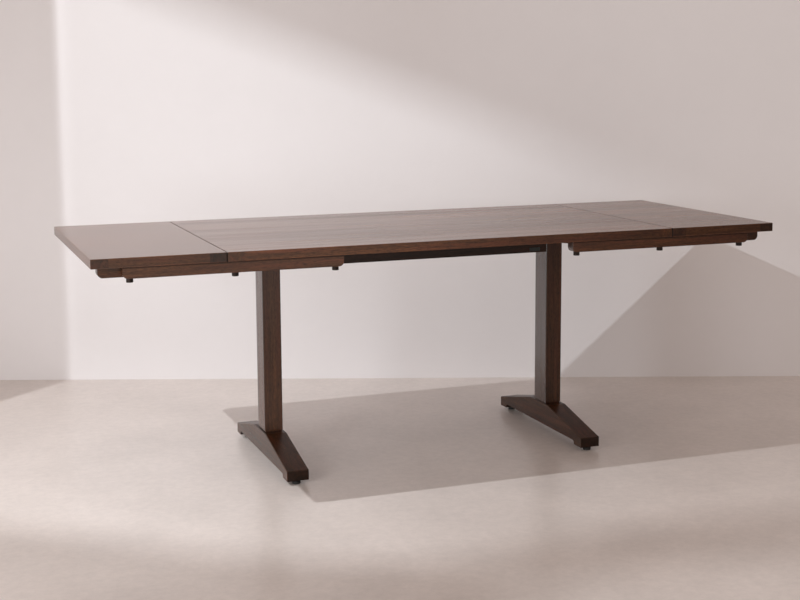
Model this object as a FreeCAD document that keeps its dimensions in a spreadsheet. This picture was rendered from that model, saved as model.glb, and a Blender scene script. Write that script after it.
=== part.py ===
import FreeCAD, Part
import math
import os
import re
import Sketcher

# Dining table with two removable end leaves. Each leaf is carried by slotted wooden bearers
# that slide out from under the fixed top and are clamped to it by cap bolts from below.
# Millimetres. X runs along the table, Y from its front edge to its back, Z up from the floor.

SIZES = (
    # Top and leaves
    ("top_height", 750, "floor to the face of the top"),
    ("top_width", 850, "front edge to back edge"),
    ("fixed_length", 1476, "fixed top, end to end"),
    ("leaf_length", 387, "one end leaf, seam to outer edge"),
    ("board_thickness", 28, "top and leaves"),
    ("board_arris", 1.2, "broken edge round each board"),
    ("breadboard_width", 50, "cross-grained piece at each end of a board"),
    ("tongue_length", 12, "tongue of a board inside a breadboard end"),
    ("tongue_thickness", 9, "tongue"),
    ("tongue_margin", 50, "edge of the top to the end of a tongue"),
    ("tongue_fit", 0.15, "round a tongue in its groove"),
    ("seam_gap", 1.2, "between the fixed top and a leaf"),
    # Bearers, which slide
    ("middle_bolt_margin", 29, "end of the fixed top to the middle bolts"),
    ("leaf_bolt_margin", 112, "outer end of a leaf to its bolts"),
    ("bolt_margin", 22, "bolt to the end of a bearer"),
    ("bearer_width", 36, "across a bearer"),
    ("bearer_height", 34, "bearers and leaf battens"),
    ("bearer_corner", 15, "round under each end of a bearer or batten"),
    ("bearer_arris", 1, "broken long edges of bearers and battens"),
    ("bearer_inset", 12, "edge of the top to a bearer"),
    ("slot_width", 9.5, "slot for the bolt shanks"),
    ("slide_gap", 0.3, "between pieces that slide past each other"),
    # Leaf battens, which are fixed
    ("batten_inset", 25, "end of a batten to the edge of its leaf"),
    # Trestles
    ("post_spacing", 1012, "between the centres of the posts"),
    ("post_width", 60, "along the table"),
    ("post_depth", 85, "front to back"),
    ("post_arris", 2, "broken upright edges of a post"),
    ("shadow_gap", 3, "recess round the lower end of a post, up the post"),
    ("shadow_depth", 3, "recess, into the post"),
    ("foot_width", 70, "along the table"),
    ("foot_length", 630, "front to back"),
    ("foot_rise", 87, "underside of a foot to its flat top"),
    ("foot_flat", 138, "flat top that carries the post"),
    ("foot_end", 32, "height of the end faces"),
    ("foot_pad", 48, "length of the pad at each end"),
    ("foot_relief", 13, "hollow under the middle"),
    ("foot_step", 10, "round where the hollow starts"),
    ("foot_arris", 2, "broken edges of a foot"),
    # Head rails on the posts, and the long rails between the trestles
    ("head_clearance", 37, "end of a head rail to the bearers"),
    ("head_height", 40, "over the post"),
    ("head_end", 22, "height at the ends"),
    ("head_flat", 300, "length of the full height"),
    ("head_arris", 1.5, "broken lower edges of a head rail"),
    ("rail_height", 84, "long rails"),
    ("rail_thickness", 28, "long rails"),
    ("rail_setback", 3, "face of a post to the face of a long rail"),
    ("rail_arris", 1.5, "broken lower edges of a long rail"),
    # Tenons that join the trestles and the long rails
    ("post_tenon_width", 24, "along the table"),
    ("post_tenon_depth", 55, "front to back"),
    ("post_tenon_length", 28, "into a foot and into a head rail"),
    ("rail_tenon_width", 12, "front to back"),
    ("rail_tenon_length", 18, "into a post"),
    ("rail_tenon_margin", 8, "edge of the post's share of the rail to the tenon"),
    ("tenon_fit", 0.15, "round a tenon in its mortise"),
    # Bare plate on the front rail
    ("plate_length", 40, "along the rail"),
    ("plate_height", 12, "up the rail"),
    ("plate_thickness", 1, "off the face of the rail"),
    ("plate_corner", 2, "rounded corners"),
    ("plate_end", 44, "post to the middle of the plate"),
    ("plate_rise", 11, "lower edge of the rail to the middle of the plate"),
    # Cap bolts and the threaded inserts that they screw into
    ("bolt_shank", 8, "diameter"),
    ("bolt_head", 20, "diameter"),
    ("bolt_head_height", 12, "height of the head"),
    ("bolt_bite", 16, "length of shank inside the insert"),
    ("bolt_play", 0.2, "round the shank in its insert"),
    ("socket_width", 8, "across the corners of the hexagon socket"),
    ("socket_depth", 5, "hexagon socket"),
    ("insert_diameter", 12, "outside of a threaded insert"),
    ("insert_length", 18, "threaded insert"),
    ("insert_fit", 0.15, "round an insert in its bore"),
    ("bore_spare", 2, "bore or mortise past the end of what it holds"),
    # Dowels that line up the leaves
    ("seam_dowel", 10, "diameter"),
    ("seam_dowel_bite", 30, "length in each board"),
    ("seam_dowel_fit", 0.15, "round a dowel in the leaf"),
    ("seam_dowel_play", 0.3, "round a dowel in the fixed top"),
    ("seam_dowel_margin", 130, "edge of the top to a dowel"),
    # Levelling glides
    ("glide_height", 14, "floor to the underside of a foot"),
    ("glide_pad", 26, "diameter"),
    ("glide_edge", 2, "chamfer round the pad"),
    ("glide_gap", 0.3, "pad to the foot"),
    ("glide_margin", 22, "end of a foot to the glide"),
    ("glide_stud", 8, "diameter"),
    ("glide_stud_reach", 14, "length of stud inside the foot"),
    ("glide_play", 0.05, "round the stud in its insert"),
    ("glide_insert_length", 15, "threaded insert in the foot"),
    # Sawing and drilling
    ("overrun", 5, "how far a cut runs past the wood"),
)
NAMES = {name for name, number, meaning in SIZES}

# Places that several pieces share
UNDERSIDE = "(top_height - board_thickness)"
HALF_FIXED = "(fixed_length / 2)"
LEAF_START = f"({HALF_FIXED} + seam_gap)"
TOP_JOINT = f"({HALF_FIXED} - breadboard_width)"
LEAF_INNER_JOINT = f"({LEAF_START} + breadboard_width)"
LEAF_OUTER_JOINT = f"({LEAF_START} + leaf_length - breadboard_width)"
MIDDLE_BOLT_X = f"({HALF_FIXED} - middle_bolt_margin)"
LEAF_BOLT_X = f"({LEAF_START} + leaf_length - leaf_bolt_margin)"
BOLT_PITCH = f"({LEAF_BOLT_X} - {MIDDLE_BOLT_X})"
INNER_BOLT_X = f"({MIDDLE_BOLT_X} - {BOLT_PITCH})"
BEARER_LENGTH = f"(2 * {BOLT_PITCH} + 2 * bolt_margin)"
BEARER_BOTTOM = f"({UNDERSIDE} - slide_gap - bearer_height)"
BEARER_Y = "(top_width / 2 - bearer_inset - bearer_width / 2)"
BOLT_TOP = f"({BEARER_BOTTOM} - slide_gap)"
BATTEN_LENGTH = "(leaf_length - 2 * batten_inset)"
BATTEN_MIDDLE = f"({LEAF_START} + leaf_length / 2)"
BATTEN_Y = f"({BEARER_Y} - bearer_width - slide_gap)"
BATTEN_BOTTOM = f"({UNDERSIDE} - bearer_height)"
POST_X = "(post_spacing / 2)"
FOOT_TOP = "(glide_height + foot_rise)"
HEAD_BOTTOM = f"({UNDERSIDE} - head_height)"
POST_HEIGHT = f"({HEAD_BOTTOM} - {FOOT_TOP})"
HEAD_LENGTH = f"(2 * ({BEARER_Y} - bearer_width / 2 - head_clearance))"
RAIL_LENGTH = "(post_spacing - post_width)"
RAIL_Y = "(post_depth / 2 - rail_setback - rail_thickness / 2)"
RAIL_BOTTOM = f"({UNDERSIDE} - rail_height)"
RAIL_TENON_TOP = "(rail_height - head_height - rail_tenon_margin)"
SEAM_DOWEL_Y = "(top_width / 2 - seam_dowel_margin)"
SEAM_DOWEL_Z = "(board_thickness / 2)"
GLIDE_Y = "(foot_length / 2 - glide_margin)"
INSERT_BORE = "(insert_diameter + 2 * insert_fit)"
INSERT_DEPTH = "(insert_length + bore_spare)"

SIDES = {"left": "-", "right": ""}
EDGES = {"front": "-", "back": ""}
HALF_TURN = math.degrees(math.pi)
TINY = 1e-4

doc = FreeCAD.newDocument("DiningTable")
sheet = doc.addObject("Spreadsheet::Sheet", "Sizes")
nodes = []


def fill_sheet():
    """Writes each size beside its name, with the name as the cell's alias."""
    for row, (name, number, meaning) in enumerate(SIZES, start=1):
        sheet.set(f"A{row}", name)
        sheet.set(f"B{row}", str(number))
        sheet.set(f"C{row}", meaning)
        sheet.setAlias(f"B{row}", name)
    doc.recompute()


def formula(text):
    """Turns the names of sizes in a text into references to the sheet."""
    return re.sub(r"[a-z_]+", lambda word: f"Sizes.{word[0]}" if word[0] in NAMES else word[0], text)


def bind(thing, **sizes):
    """Ties properties of an object to formulas; Base_x stands for Placement.Base.x."""
    for name, text in sizes.items():
        path = name.replace("Base_", "Placement.Base.")
        thing.setExpression(path, formula(text))


def place(thing, x="0", y="0", z="0", turn=0):
    """Turns an object about Z and ties its position to formulas."""
    rotation = FreeCAD.Rotation(FreeCAD.Vector(0, 0, 1), turn)
    thing.Placement = FreeCAD.Placement(FreeCAD.Vector(), rotation)
    bind(thing, Base_x=x, Base_y=y, Base_z=z)


def node(thing, label):
    """Names a finished sub-part."""
    thing.Label = label
    nodes.append(thing)


def new_body(label, x="0", y="0", z="0", turn=0):
    body = doc.addObject("PartDesign::Body", label)
    place(body, x, y, z, turn)
    node(body, label)
    return body


def new_sketch(body, plane, offset="0"):
    """A sketch on one of the body's own planes, moved along the plane's normal."""
    sketch = body.newObject("Sketcher::SketchObject", "Sketch")
    origin_plane = next(part for part in body.Origin.OriginFeatures if part.Role == plane)
    sketch.AttachmentSupport = [(origin_plane, "")]
    sketch.MapMode = "FlatFace"
    sketch.setExpression("AttachmentOffset.Base.z", formula(offset))
    return sketch


def pin_point(sketch, geometry, point, x, y):
    """Fixes a point of the sketch at two formulas, measured from its origin."""
    for direction, text in (("DistanceX", x), ("DistanceY", y)):
        name = f"{direction}_{geometry}_{point}"
        number = sketch.addConstraint(Sketcher.Constraint(direction, -1, 1, geometry, point, 1.0))
        sketch.renameConstraint(number, name)
        sketch.setExpression(f"Constraints.{name}", formula(text))


def draw_outline(sketch, corners):
    """A closed outline of straight lines through corners given as formulas."""
    turns = [2 * math.pi * index / len(corners) for index in range(len(corners))]
    points = [FreeCAD.Vector(math.cos(turn), math.sin(turn), 0) for turn in turns]
    first = sketch.GeometryCount
    for start, end in zip(points, points[1:] + points[:1]):
        sketch.addGeometry(Part.LineSegment(start, end))
    for index, (x, y) in enumerate(corners):
        line = first + index
        following = first + (index + 1) % len(corners)
        sketch.addConstraint(Sketcher.Constraint("Coincident", line, 2, following, 1))
        pin_point(sketch, line, 1, x, y)


def draw_rectangle(sketch, x_low, x_high, y_low, y_high):
    draw_outline(sketch, ((x_low, y_low), (x_high, y_low), (x_high, y_high), (x_low, y_high)))


def draw_circles(sketch, centres, diameter):
    """Circles of one diameter, with their centres given as formulas."""
    for x, y in centres:
        circle = Part.Circle(FreeCAD.Vector(), FreeCAD.Vector(0, 0, 1), 1.0)
        geometry = sketch.addGeometry(circle)
        pin_point(sketch, geometry, 3, x, y)
        number = sketch.addConstraint(Sketcher.Constraint("Diameter", geometry, 1.0))
        name = f"Diameter_{geometry}"
        sketch.renameConstraint(number, name)
        sketch.setExpression(f"Constraints.{name}", formula(diameter))


def pad(body, sketch, length, symmetric=False):
    feature = body.newObject("PartDesign::Pad", "Pad")
    feature.Profile = sketch
    feature.SideType = "Symmetric" if symmetric else "One side"
    bind(feature, Length=length)
    doc.recompute()
    return feature


def pocket(body, sketch, depth=None, reverse=False):
    """Cuts against the sketch's normal, or along it when reversed; without a depth, right through."""
    before = body.Shape.Volume
    feature = body.newObject("PartDesign::Pocket", "Pocket")
    feature.Profile = sketch
    feature.Reversed = reverse
    if depth is None:
        feature.Type = "ThroughAll"
    else:
        bind(feature, Length=depth)
    doc.recompute()
    if body.Shape.Volume > before - TINY:
        raise RuntimeError(f"A pocket in {body.Label} cuts nothing")
    return feature


def drill(body, centres, diameter, depth=None, level="0", up=True):
    """Round holes along Z, from a level of the body, upwards or downwards."""
    sketch = new_sketch(body, "XY_Plane", level)
    draw_circles(sketch, centres, diameter)
    return pocket(body, sketch, depth, reverse=up)


def drill_end(body, centres, diameter, depth, end, inwards):
    """Round holes along X from an end of the body; centres are given as Y and Z."""
    sketch = new_sketch(body, "YZ_Plane", end)
    draw_circles(sketch, centres, diameter)
    return pocket(body, sketch, depth, reverse=inwards)


def edges_along(shape, axis, wanted=lambda centre: True):
    """Names of the straight edges parallel to an axis whose centre passes a test."""
    found = []
    for number, edge in enumerate(shape.Edges, start=1):
        if edge.Curve.TypeId != "Part::GeomLine":
            continue
        if abs(abs(edge.tangentAt(edge.FirstParameter).dot(axis)) - 1) > TINY:
            continue
        if wanted(edge.CenterOfMass):
            found.append(f"Edge{number}")
    return found


X_AXIS = FreeCAD.Vector(1, 0, 0)
Y_AXIS = FreeCAD.Vector(0, 1, 0)
Z_AXIS = FreeCAD.Vector(0, 0, 1)


def round_edges(body, feature, edges, radius):
    fillet = body.newObject("PartDesign::Fillet", "Fillet")
    fillet.Base = (feature, edges)
    bind(fillet, Radius=radius)
    doc.recompute()
    return fillet


def break_edges(body, feature, edges, size):
    chamfer = body.newObject("PartDesign::Chamfer", "Chamfer")
    chamfer.Base = (feature, edges)
    bind(chamfer, Size=size)
    doc.recompute()
    return chamfer


def all_edges(shape):
    return [f"Edge{number}" for number in range(1, len(shape.Edges) + 1)]


def signed(*pairs):
    """Each pair of formulas with every choice of signs."""
    return [(f"{a}{x}", f"{b}{y}") for x, y in pairs for a in ("", "-") for b in ("", "-")]


def make_board(body, start, end):
    """A board between two places along X, with a tongue at both ends for the breadboard ends."""
    sketch = new_sketch(body, "XY_Plane")
    draw_rectangle(sketch, start, end, "-top_width / 2", "top_width / 2")
    board = pad(body, sketch, "board_thickness")
    break_edges(body, board, edges_along(board.Shape, X_AXIS), "board_arris")
    tongue = new_sketch(body, "XY_Plane", "(board_thickness - tongue_thickness) / 2")
    reach = "(top_width / 2 - tongue_margin)"
    draw_rectangle(tongue, f"{start} - tongue_length", f"{end} + tongue_length", f"-{reach}", reach)
    pad(body, tongue, "tongue_thickness")


def make_fixed_top():
    """The fixed board, bored for the inserts of the inner bearer bolts."""
    body = new_body("fixed_top", z=UNDERSIDE)
    make_board(body, f"-{TOP_JOINT}", TOP_JOINT)
    drill(body, signed((INNER_BOLT_X, BEARER_Y)), INSERT_BORE, INSERT_DEPTH)


def make_leaf(side):
    """One end leaf, bored for the inserts of its two bearer bolts."""
    body = new_body(f"leaf_{side}", f"{SIDES[side]}{LEAF_START}", "0", UNDERSIDE,
                    HALF_TURN if side == "left" else 0)
    make_board(body, "breadboard_width", "(leaf_length - breadboard_width)")
    bolt_x = f"({LEAF_BOLT_X} - {LEAF_START})"
    drill(body, [(bolt_x, f"-{BEARER_Y}"), (bolt_x, BEARER_Y)], INSERT_BORE, INSERT_DEPTH)


def make_breadboard(label, side, joint, outwards, dowel_bore=None):
    """A cross-grained end, from its joint with the board to its free end at one breadboard_width."""
    turned = (side == "left") == outwards
    body = new_body(label, f"{SIDES[side]}{joint}", "0", UNDERSIDE, HALF_TURN if turned else 0)
    sketch = new_sketch(body, "XY_Plane")
    draw_rectangle(sketch, "0", "breadboard_width", "-top_width / 2", "top_width / 2")
    block = pad(body, sketch, "board_thickness")
    free = [f"Edge{number}" for number, edge in enumerate(block.Shape.Edges, start=1)
            if edge.CenterOfMass.x > TINY]
    break_edges(body, block, free, "board_arris")
    groove = new_sketch(body, "YZ_Plane")
    half_length = "(top_width / 2 - tongue_margin + tongue_fit)"
    half_height = "(tongue_thickness / 2 + tongue_fit)"
    draw_rectangle(groove, f"-{half_length}", half_length, f"board_thickness / 2 - {half_height}",
                   f"board_thickness / 2 + {half_height}")
    pocket(body, groove, "(tongue_length + bore_spare)", reverse=True)
    if dowel_bore is not None:
        dowels = [(f"-{SEAM_DOWEL_Y}", SEAM_DOWEL_Z), (SEAM_DOWEL_Y, SEAM_DOWEL_Z)]
        drill_end(body, dowels, dowel_bore, "(seam_dowel_bite + bore_spare)", "breadboard_width", False)
    return body


def make_top_breadboard(side):
    """An end of the fixed top, which takes the middle bolts of two bearers."""
    body = make_breadboard(f"top_breadboard_{side}", side, TOP_JOINT, True,
                           "(seam_dowel + 2 * seam_dowel_play)")
    bolt_x = f"({MIDDLE_BOLT_X} - {TOP_JOINT})"
    drill(body, [(bolt_x, f"-{BEARER_Y}"), (bolt_x, BEARER_Y)], INSERT_BORE, INSERT_DEPTH)


def make_leaf_breadboards(side):
    """The inner end of a leaf, which holds the seam dowels, and its outer end."""
    make_breadboard(f"leaf_breadboard_inner_{side}", side, LEAF_INNER_JOINT, False,
                    "(seam_dowel + 2 * seam_dowel_fit)")
    make_breadboard(f"leaf_breadboard_outer_{side}", side, LEAF_OUTER_JOINT, True)


def make_bar(body, length):
    """A planed bar under the top, centred on its own origin, with its lower ends rounded."""
    sketch = new_sketch(body, "XZ_Plane")
    draw_rectangle(sketch, f"-{length} / 2", f"{length} / 2", "0", "bearer_height")
    bar = pad(body, sketch, "bearer_width", symmetric=True)
    lower_ends = edges_along(bar.Shape, Y_AXIS, lambda centre: centre.z < TINY)
    rounded = round_edges(body, bar, lower_ends, "bearer_corner")
    side_y = sheet.bearer_width / 2
    faces = [f"Face{number}" for number, face in enumerate(rounded.Shape.Faces, start=1)
             if abs(abs(face.CenterOfMass.y) - side_y) < TINY]
    break_edges(body, rounded, faces, "bearer_arris")


def make_bearer(edge, side):
    """One sliding bearer, centred on its middle bolt, with a slot that is open at its outer end."""
    body = new_body(f"bearer_{edge}_{side}", f"{SIDES[side]}{MIDDLE_BOLT_X}",
                    f"{EDGES[edge]}{BEARER_Y}", BEARER_BOTTOM, HALF_TURN if side == "left" else 0)
    make_bar(body, BEARER_LENGTH)
    slot_end = f"-{BOLT_PITCH}"
    drill(body, [(slot_end, "0")], "slot_width")
    slot = new_sketch(body, "XY_Plane")
    draw_rectangle(slot, slot_end, f"({BEARER_LENGTH} / 2 + overrun)", "-slot_width / 2", "slot_width / 2")
    pocket(body, slot, reverse=True)


def make_batten(edge, side):
    """One batten under a leaf, beside its bearer."""
    body = new_body(f"leaf_batten_{edge}_{side}", f"{SIDES[side]}{BATTEN_MIDDLE}",
                    f"{EDGES[edge]}{BATTEN_Y}", BATTEN_BOTTOM, HALF_TURN if side == "left" else 0)
    make_bar(body, BATTEN_LENGTH)


def mortise(body, level, up):
    """A mortise for a post's tenon, from a level of the body, upwards or downwards."""
    sketch = new_sketch(body, "XY_Plane", level)
    half_width = "(post_tenon_width / 2 + tenon_fit)"
    half_depth = "(post_tenon_depth / 2 + tenon_fit)"
    draw_rectangle(sketch, f"-{half_width}", half_width, f"-{half_depth}", half_depth)
    pocket(body, sketch, "(post_tenon_length + bore_spare)", reverse=up)


def make_post(side):
    """One post on a recessed shoulder, with a tenon at both ends and mortises for the long rails."""
    body = new_body(f"post_{side}", f"{SIDES[side]}{POST_X}", "0", FOOT_TOP,
                    HALF_TURN if side == "left" else 0)
    sketch = new_sketch(body, "XY_Plane", "shadow_gap")
    draw_rectangle(sketch, "-post_width / 2", "post_width / 2", "-post_depth / 2", "post_depth / 2")
    post = pad(body, sketch, f"({POST_HEIGHT} - shadow_gap)")
    break_edges(body, post, edges_along(post.Shape, Z_AXIS), "post_arris")
    plinth = new_sketch(body, "XY_Plane")
    half_width = "(post_width / 2 - shadow_depth)"
    half_depth = "(post_depth / 2 - shadow_depth)"
    draw_rectangle(plinth, f"-{half_width}", half_width, f"-{half_depth}", half_depth)
    pad(body, plinth, "shadow_gap")
    core = new_sketch(body, "XY_Plane", "-post_tenon_length")
    draw_rectangle(core, "-post_tenon_width / 2", "post_tenon_width / 2",
                   "-post_tenon_depth / 2", "post_tenon_depth / 2")
    pad(body, core, f"({POST_HEIGHT} + 2 * post_tenon_length)")
    rails = new_sketch(body, "YZ_Plane", "-post_width / 2")
    low = f"({RAIL_BOTTOM} - {FOOT_TOP} + rail_tenon_margin - tenon_fit)"
    high = f"({RAIL_BOTTOM} - {FOOT_TOP} + {RAIL_TENON_TOP} + tenon_fit)"
    half = "(rail_tenon_width / 2 + tenon_fit)"
    for sign in EDGES.values():
        draw_rectangle(rails, f"{sign}{RAIL_Y} - {half}", f"{sign}{RAIL_Y} + {half}", low, high)
    pocket(body, rails, "(rail_tenon_length + bore_spare)", reverse=True)


def make_foot(side):
    """One foot: a flat-topped block that slopes to its ends and is hollowed below."""
    body = new_body(f"foot_{side}", f"{SIDES[side]}{POST_X}", "0", "glide_height")
    hollow = "(foot_length / 2 - foot_pad)"
    half = (("foot_length / 2", "0"), ("foot_length / 2", "foot_end"), ("foot_flat / 2", "foot_rise"))
    mirrored = [(f"-{y}", z) for y, z in reversed(half)]
    step = ((f"-{hollow}", "0"), (f"-{hollow}", "foot_relief"), (hollow, "foot_relief"), (hollow, "0"))
    sketch = new_sketch(body, "YZ_Plane")
    draw_outline(sketch, (*half, *mirrored, *step))
    block = pad(body, sketch, "foot_width", symmetric=True)
    relief = sheet.foot_relief
    corners = edges_along(block.Shape, X_AXIS, lambda centre: abs(centre.z - relief) < TINY)
    hollowed = round_edges(body, block, corners, "foot_step")
    edge = sheet.foot_width / 2
    outline = edges_along(hollowed.Shape, X_AXIS, lambda centre: centre.z > relief + TINY)
    sides = [f"Edge{number}" for number, line in enumerate(hollowed.Shape.Edges, start=1)
             if abs(abs(line.CenterOfMass.x) - edge) < TINY and line.CenterOfMass.z > relief + TINY]
    ends = [name for name in outline
            if hollowed.Shape.getElement(name).CenterOfMass.z < sheet.foot_rise - TINY]
    break_edges(body, hollowed, sides + ends, "foot_arris")
    glides = [("0", f"-{GLIDE_Y}"), ("0", GLIDE_Y)]
    drill(body, glides, INSERT_BORE, "(glide_insert_length + insert_fit)")
    mortise(body, "foot_rise", up=False)


def make_head_rail(side):
    """One rail across the head of a post, tapered below towards its ends."""
    body = new_body(f"head_rail_{side}", f"{SIDES[side]}{POST_X}", "0", HEAD_BOTTOM,
                    HALF_TURN if side == "left" else 0)
    taper = "(head_height - head_end)"
    end = f"{HEAD_LENGTH} / 2"
    half = (("head_flat / 2", "0"), (end, taper), (end, "head_height"))
    mirrored = [(f"-{y}", z) for y, z in reversed(half)]
    sketch = new_sketch(body, "YZ_Plane")
    draw_outline(sketch, (*half, *mirrored))
    rail = pad(body, sketch, "post_width", symmetric=True)
    reach = sheet.head_flat / 2
    ends = edges_along(rail.Shape, X_AXIS, lambda centre: abs(centre.y) > reach + TINY)
    break_edges(body, rail, ends, "head_arris")
    mortise(body, "0", up=True)


def make_rail(edge):
    """One long rail between the trestles, with a tenon at both ends that goes into the posts."""
    body = new_body(f"rail_{edge}", "0", f"{EDGES[edge]}{RAIL_Y}", RAIL_BOTTOM)
    sketch = new_sketch(body, "XZ_Plane")
    draw_rectangle(sketch, f"-{RAIL_LENGTH} / 2", f"{RAIL_LENGTH} / 2", "0", "rail_height")
    rail = pad(body, sketch, "rail_thickness", symmetric=True)
    lower = edges_along(rail.Shape, X_AXIS, lambda centre: centre.z < TINY)
    break_edges(body, rail, lower, "rail_arris")
    core = new_sketch(body, "XZ_Plane")
    reach = f"({RAIL_LENGTH} / 2 + rail_tenon_length)"
    draw_rectangle(core, f"-{reach}", reach, "rail_tenon_margin", RAIL_TENON_TOP)
    pad(body, core, "rail_tenon_width", symmetric=True)


def make_plate():
    """The small bare plate on the face of the front rail."""
    body = new_body("rail_plate", f"({RAIL_LENGTH} / 2 - plate_end)",
                    f"-({RAIL_Y} + rail_thickness / 2)", f"({RAIL_BOTTOM} + plate_rise)")
    sketch = new_sketch(body, "XZ_Plane")
    draw_rectangle(sketch, "-plate_length / 2", "plate_length / 2", "-plate_height / 2", "plate_height / 2")
    plate = pad(body, sketch, "plate_thickness")
    round_edges(body, plate, edges_along(plate.Shape, Y_AXIS), "plate_corner")


def cylinder(name, diameter, height, z="0"):
    thing = doc.addObject("Part::Cylinder", name)
    bind(thing, Radius=f"{diameter} / 2", Height=height)
    place(thing, z=z)
    return thing


def cut(name, base, tool):
    thing = doc.addObject("Part::Cut", name)
    thing.Base = base
    thing.Tool = tool
    return thing


def fuse(name, *pieces):
    thing = doc.addObject("Part::MultiFuse", name)
    thing.Shapes = list(pieces)
    return thing


def socket_bolt(name, head, head_height, shank_length):
    """A cap bolt that stands on its shank end up: the seat of the head is at its origin."""
    shape = fuse(f"{name}_blank", cylinder(f"{name}_head", head, head_height, f"-{head_height}"),
                 cylinder(f"{name}_shank", "bolt_shank", f"({shank_length} + {head_height} / 2)",
                          f"-{head_height} / 2"))
    socket = doc.addObject("Part::Prism", f"{name}_socket")
    socket.Polygon = 6
    bind(socket, Circumradius="socket_width / 2", Height="(socket_depth + overrun)")
    place(socket, z=f"-({head_height} + overrun)")
    return cut(name, shape, socket)


def ring(name, outside, inside, height):
    """A threaded insert, with its lower face at its origin."""
    return cut(name, cylinder(f"{name}_outside", outside, height),
               cylinder(f"{name}_inside", inside, f"({height} + 2 * overrun)", "-overrun"))


def lying_dowel(name, diameter, length):
    """A dowel along X, centred on its origin."""
    thing = doc.addObject("Part::Cylinder", name)
    bind(thing, Radius=f"{diameter} / 2", Height=length)
    thing.Placement = FreeCAD.Placement(FreeCAD.Vector(), FreeCAD.Rotation(Y_AXIS, HALF_TURN / 2))
    bind(thing, Base_x=f"-{length} / 2")
    return thing


def group(label, master, places):
    """One node that holds a copy of the master at each place."""
    copies = []
    for x, y, z in places:
        copy = doc.addObject("App::Link", f"{label}_copy")
        copy.LinkedObject = master
        copy.LinkTransform = True
        bind(copy, Base_x=x, Base_y=y, Base_z=z)
        copies.append(copy)
    compound = doc.addObject("Part::Compound", label)
    compound.Links = copies
    node(compound, label)


def four(x, y, z):
    """One place in each quarter of the table."""
    return [(sx + x, sy + y, z) for sx in SIDES.values() for sy in EDGES.values()]


def make_bearer_hardware():
    """Bolts up through the bearers, and the inserts that take them."""
    shank = "(2 * slide_gap + bearer_height + bolt_bite)"
    bolt = socket_bolt("cap_bolt", "bolt_head", "bolt_head_height", shank)
    insert = ring("insert", "insert_diameter", "(bolt_shank + 2 * bolt_play)", "insert_length")
    inner = four(INNER_BOLT_X, BEARER_Y, BOLT_TOP) + four(MIDDLE_BOLT_X, BEARER_Y, BOLT_TOP)
    group("top_bolts", bolt, inner)
    group("top_inserts", insert, [(x, y, UNDERSIDE) for x, y, z in inner])
    for side, sign in SIDES.items():
        outer = [(f"{sign}{LEAF_BOLT_X}", f"{edge}{BEARER_Y}", BOLT_TOP) for edge in EDGES.values()]
        group(f"leaf_bolts_{side}", bolt, outer)
        group(f"leaf_inserts_{side}", insert, [(x, y, UNDERSIDE) for x, y, z in outer])


def make_seam_dowels():
    """Dowels between the fixed top and the leaves."""
    dowel = lying_dowel("seam_dowel_blank", "seam_dowel", "(2 * seam_dowel_bite)")
    for side, sign in SIDES.items():
        group(f"seam_dowels_{side}", dowel,
              [(f"{sign}{LEAF_START}", f"{edge}{SEAM_DOWEL_Y}", f"({UNDERSIDE} + {SEAM_DOWEL_Z})")
               for edge in EDGES.values()])


def make_glide(edge, side):
    """One levelling glide: a round pad under a threaded stud that turns in the foot."""
    x = f"{SIDES[side]}{POST_X}"
    y = f"{EDGES[edge]}{GLIDE_Y}"
    body = new_body(f"glide_pad_{edge}_{side}", x, y)
    sketch = new_sketch(body, "XY_Plane")
    draw_circles(sketch, [("0", "0")], "glide_pad")
    disc = pad(body, sketch, "(glide_height - glide_gap)")
    rims = [name for name in all_edges(disc.Shape)
            if disc.Shape.getElement(name).Curve.TypeId == "Part::GeomCircle"]
    break_edges(body, disc, rims, "glide_edge")
    stud = cylinder(f"glide_stud_{edge}_{side}", "glide_stud", "(glide_gap + glide_stud_reach)",
                    "(glide_height - glide_gap)")
    bind(stud, Base_x=x, Base_y=y)
    node(stud, f"glide_stud_{edge}_{side}")


def make_glide_inserts():
    """The threaded inserts in the feet that the glides turn in."""
    insert = ring("glide_insert", "insert_diameter", "(glide_stud + 2 * glide_play)", "glide_insert_length")
    group("glide_inserts", insert, four(POST_X, GLIDE_Y, "glide_height"))


def check():
    """Stops if any object failed, or if a sub-part isn't a sound shape."""
    for thing in doc.Objects:
        if "Invalid" in thing.State or "Error" in thing.State:
            raise RuntimeError(f"{thing.Label} failed: {thing.State}")
    for thing in nodes:
        if thing.Shape.isNull() or not thing.Shape.isValid():
            raise RuntimeError(f"{thing.Label} has no sound shape")


def export():
    os.makedirs("parts", exist_ok=True)
    for thing in nodes:
        thing.Shape.exportStep(os.path.join("parts", f"{thing.Label}.step"))
        print(thing.Label, len(thing.Shape.Solids), round(thing.Shape.Volume))


fill_sheet()
make_fixed_top()
make_rail("front")
make_rail("back")
make_plate()
for side_name in SIDES:
    make_top_breadboard(side_name)
    make_leaf(side_name)
    make_leaf_breadboards(side_name)
    make_post(side_name)
    make_foot(side_name)
    make_head_rail(side_name)
    for edge_name in EDGES:
        make_bearer(edge_name, side_name)
        make_batten(edge_name, side_name)
        make_glide(edge_name, side_name)
make_bearer_hardware()
make_seam_dowels()
make_glide_inserts()
doc.recompute()
check()
export()
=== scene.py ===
import math

import bmesh
import bpy
from mathutils import Matrix, Vector


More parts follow.
